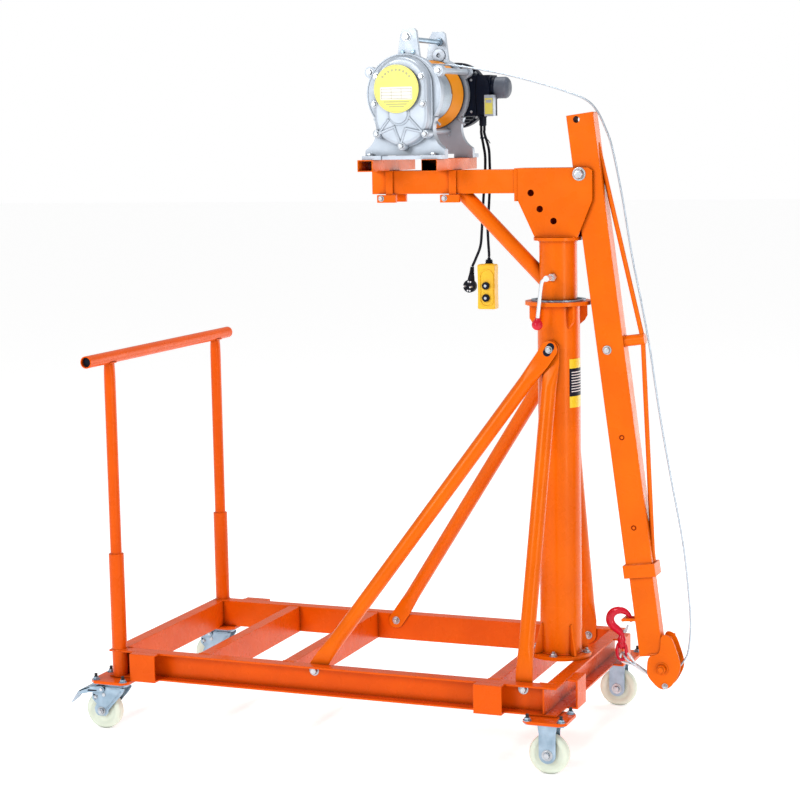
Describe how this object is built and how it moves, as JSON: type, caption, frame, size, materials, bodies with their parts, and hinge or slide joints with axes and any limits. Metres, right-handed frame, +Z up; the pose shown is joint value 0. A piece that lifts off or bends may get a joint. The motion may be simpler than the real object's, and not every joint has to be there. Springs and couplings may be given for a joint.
{
  "type": "mobile slewing hoist crane",
  "caption": "Wheeled channel frame with push handle and braced column carrying a slewing winch arm and a folded telescopic boom with rope, sheave and hook.",
  "frame": {"origin": "on the floor under the centre of the channel frame", "axes": "+X along the frame toward the boom, +Y across it toward the motor side of the winch, +Z up"},
  "size_m": [1.6245, 0.813, 1.826],
  "materials": {
    "orange_paint": "gloss paint",
    "zinc": "zinc plated",
    "cast_aluminium": "painted silver",
    "black": "matte",
    "nylon": "satin",
    "yellow": "satin",
    "badge": "plain sticker",
    "red": "gloss",
    "knob": "gloss",
    "drum_paint": "gloss paint",
    "wire": "galvanised strand",
    "rubber_black": "matte"
  },
  "bodies": {
    "base": {"near_rail": "orange_paint", "far_rail": "orange_paint", "rear_end_rail": "orange_paint", "front_end_rail": "orange_paint", "cross_members": "orange_paint", "stabiliser_pockets": "orange_paint", "caster_plates": "orange_paint", "handle_sockets": "orange_paint", "column_tube": "orange_paint", "column_flanges": "orange_paint", "thrust_washer": "zinc", "near_long_brace": "orange_paint", "near_short_brace": "orange_paint", "far_long_brace": "orange_paint", "far_short_brace": "orange_paint", "base_bolts": "zinc", "caster_mounts": "zinc"},
    "push_handle": {"handle_posts": "orange_paint", "handle_bar": "orange_paint"},
    "near_rear_caster": {"near_rear_fork": "zinc"},
    "near_rear_caster_wheel": {"near_rear_wheel": "nylon"},
    "near_rear_caster_brake": {"near_rear_pedal": "zinc"},
    "far_rear_caster": {"far_rear_fork": "zinc"},
    "far_rear_caster_wheel": {"far_rear_wheel": "nylon"},
    "far_rear_caster_brake": {"far_rear_pedal": "zinc"},
    "near_front_caster_wheel": {"near_front_wheel": "nylon"},
    "far_front_caster_wheel": {"far_front_wheel": "nylon"},
    "slewing_head": {"upper_column": "orange_paint", "head_plates": "orange_paint", "arm": "orange_paint", "platform_tubes": "orange_paint", "platform_clamps": "orange_paint", "slew_bolts": "zinc", "winch_frame": "cast_aluminium", "gear_cover": "cast_aluminium", "winch_badge": "badge", "winch_bolts": "zinc", "motor": "black", "control_box": "black", "pendant_housing": "yellow", "wire_rope": "wire", "power_lead": "rubber_black", "power_plug": "black", "pendant_cable": "rubber_black"},
    "slew_lock": {"lock_lever": "zinc", "lever_knob": "knob"},
    "drum": {"drum_core": "wire", "drum_flanges": "drum_paint"},
    "pendant_up": {"up_button": "black"},
    "pendant_down": {"down_button": "black"},
    "boom": {"boom_tube": "orange_paint", "truss_rod": "orange_paint", "boom_bolts": "zinc"},
    "boom_extension": {"inner_boom": "orange_paint", "sheave_cheeks": "orange_paint", "sheave_bolts": "zinc", "hook": "red"},
    "rope_sheave": {"sheave": "zinc"},
    "swivel_eye": {"hook_eye": "red"},
    "safety_latch": {"hook_latch": "zinc"}
  },
  "joints": [
    {"name": "handle_lift", "type": "slide", "parent": "base", "child": "push_handle", "axis": [0, 0, 1], "range_m": [0, 0.2]},
    {"name": "near_rear_swivel", "type": "hinge", "parent": "base", "child": "near_rear_caster", "pos_m": [-0.602, -0.316, 0.1], "axis": [0, 0, 1], "continuous": true},
    {"name": "near_rear_spin", "type": "hinge", "parent": "near_rear_caster", "child": "near_rear_caster_wheel", "pos_m": [-0.642, -0.316, 0.051], "axis": [0, 1, 0], "continuous": true},
    {"name": "near_rear_brake", "type": "hinge", "parent": "near_rear_caster", "child": "near_rear_caster_brake", "pos_m": [-0.638, -0.316, 0.112], "axis": [0, -1, 0], "range_deg": [0, 8]},
    {"name": "far_rear_swivel", "type": "hinge", "parent": "base", "child": "far_rear_caster", "pos_m": [-0.602, 0.316, 0.1], "axis": [0, 0, 1], "continuous": true},
    {"name": "far_rear_spin", "type": "hinge", "parent": "far_rear_caster", "child": "far_rear_caster_wheel", "pos_m": [-0.642, 0.316, 0.051], "axis": [0, 1, 0], "continuous": true},
    {"name": "far_rear_brake", "type": "hinge", "parent": "far_rear_caster", "child": "far_rear_caster_brake", "pos_m": [-0.638, 0.316, 0.112], "axis": [0, -1, 0], "range_deg": [0, 8]},
    {"name": "near_front_spin", "type": "hinge", "parent": "base", "child": "near_front_caster_wheel", "pos_m": [0.602, -0.316, 0.051], "axis": [0, 1, 0], "continuous": true},
    {"name": "far_front_spin", "type": "hinge", "parent": "base", "child": "far_front_caster_wheel", "pos_m": [0.602, 0.316, 0.051], "axis": [0, 1, 0], "continuous": true},
    {"name": "slew", "type": "hinge", "parent": "base", "child": "slewing_head", "pos_m": [0.536, 0, 1.14], "axis": [0, 0, 1], "range_deg": [-40, 40]},
    {"name": "slew_lock_turn", "type": "hinge", "parent": "slewing_head", "child": "slew_lock", "pos_m": [0.536, -0.098, 1.2], "axis": [0, 1, 0], "range_deg": [-60, 60]},
    {"name": "drum_spin", "type": "hinge", "parent": "slewing_head", "child": "drum", "pos_m": [0.17, 0, 1.664], "axis": [0, 1, 0], "continuous": true},
    {"name": "up_press", "type": "slide", "parent": "slewing_head", "child": "pendant_up", "axis": [0, 1, 0], "range_m": [0, 0.003], "stiffness_N_per_m": 300, "springref_m": -0.001},
    {"name": "down_press", "type": "slide", "parent": "slewing_head", "child": "pendant_down", "axis": [0, 1, 0], "range_m": [0, 0.003], "stiffness_N_per_m": 300, "springref_m": -0.001},
    {"name": "boom_raise", "type": "hinge", "parent": "slewing_head", "child": "boom", "pos_m": [0.602, 0, 1.457], "axis": [0, -1, 0], "range_deg": [0, 145], "deforming": ["wire_rope"]},
    {"name": "boom_extend", "type": "slide", "parent": "boom", "child": "boom_extension", "axis": [0.1305, 0, -0.9914], "range_m": [0, 0.12]},
    {"name": "sheave_spin", "type": "hinge", "parent": "boom_extension", "child": "rope_sheave", "pos_m": [0.809, 0, 0.205], "axis": [0, 1, 0], "continuous": true},
    {"name": "eye_swivel", "type": "hinge", "parent": "boom_extension", "child": "swivel_eye", "pos_m": [0.698, 0, 0.24], "axis": [0, 0, 1], "continuous": true},
    {"name": "latch_open", "type": "hinge", "parent": "boom_extension", "child": "safety_latch", "pos_m": [0.707, 0, 0.29], "axis": [0, -1, 0], "range_deg": [0, 35], "stiffness_Nm_per_rad": 0.05, "springref_deg": -11.46}
  ]
}
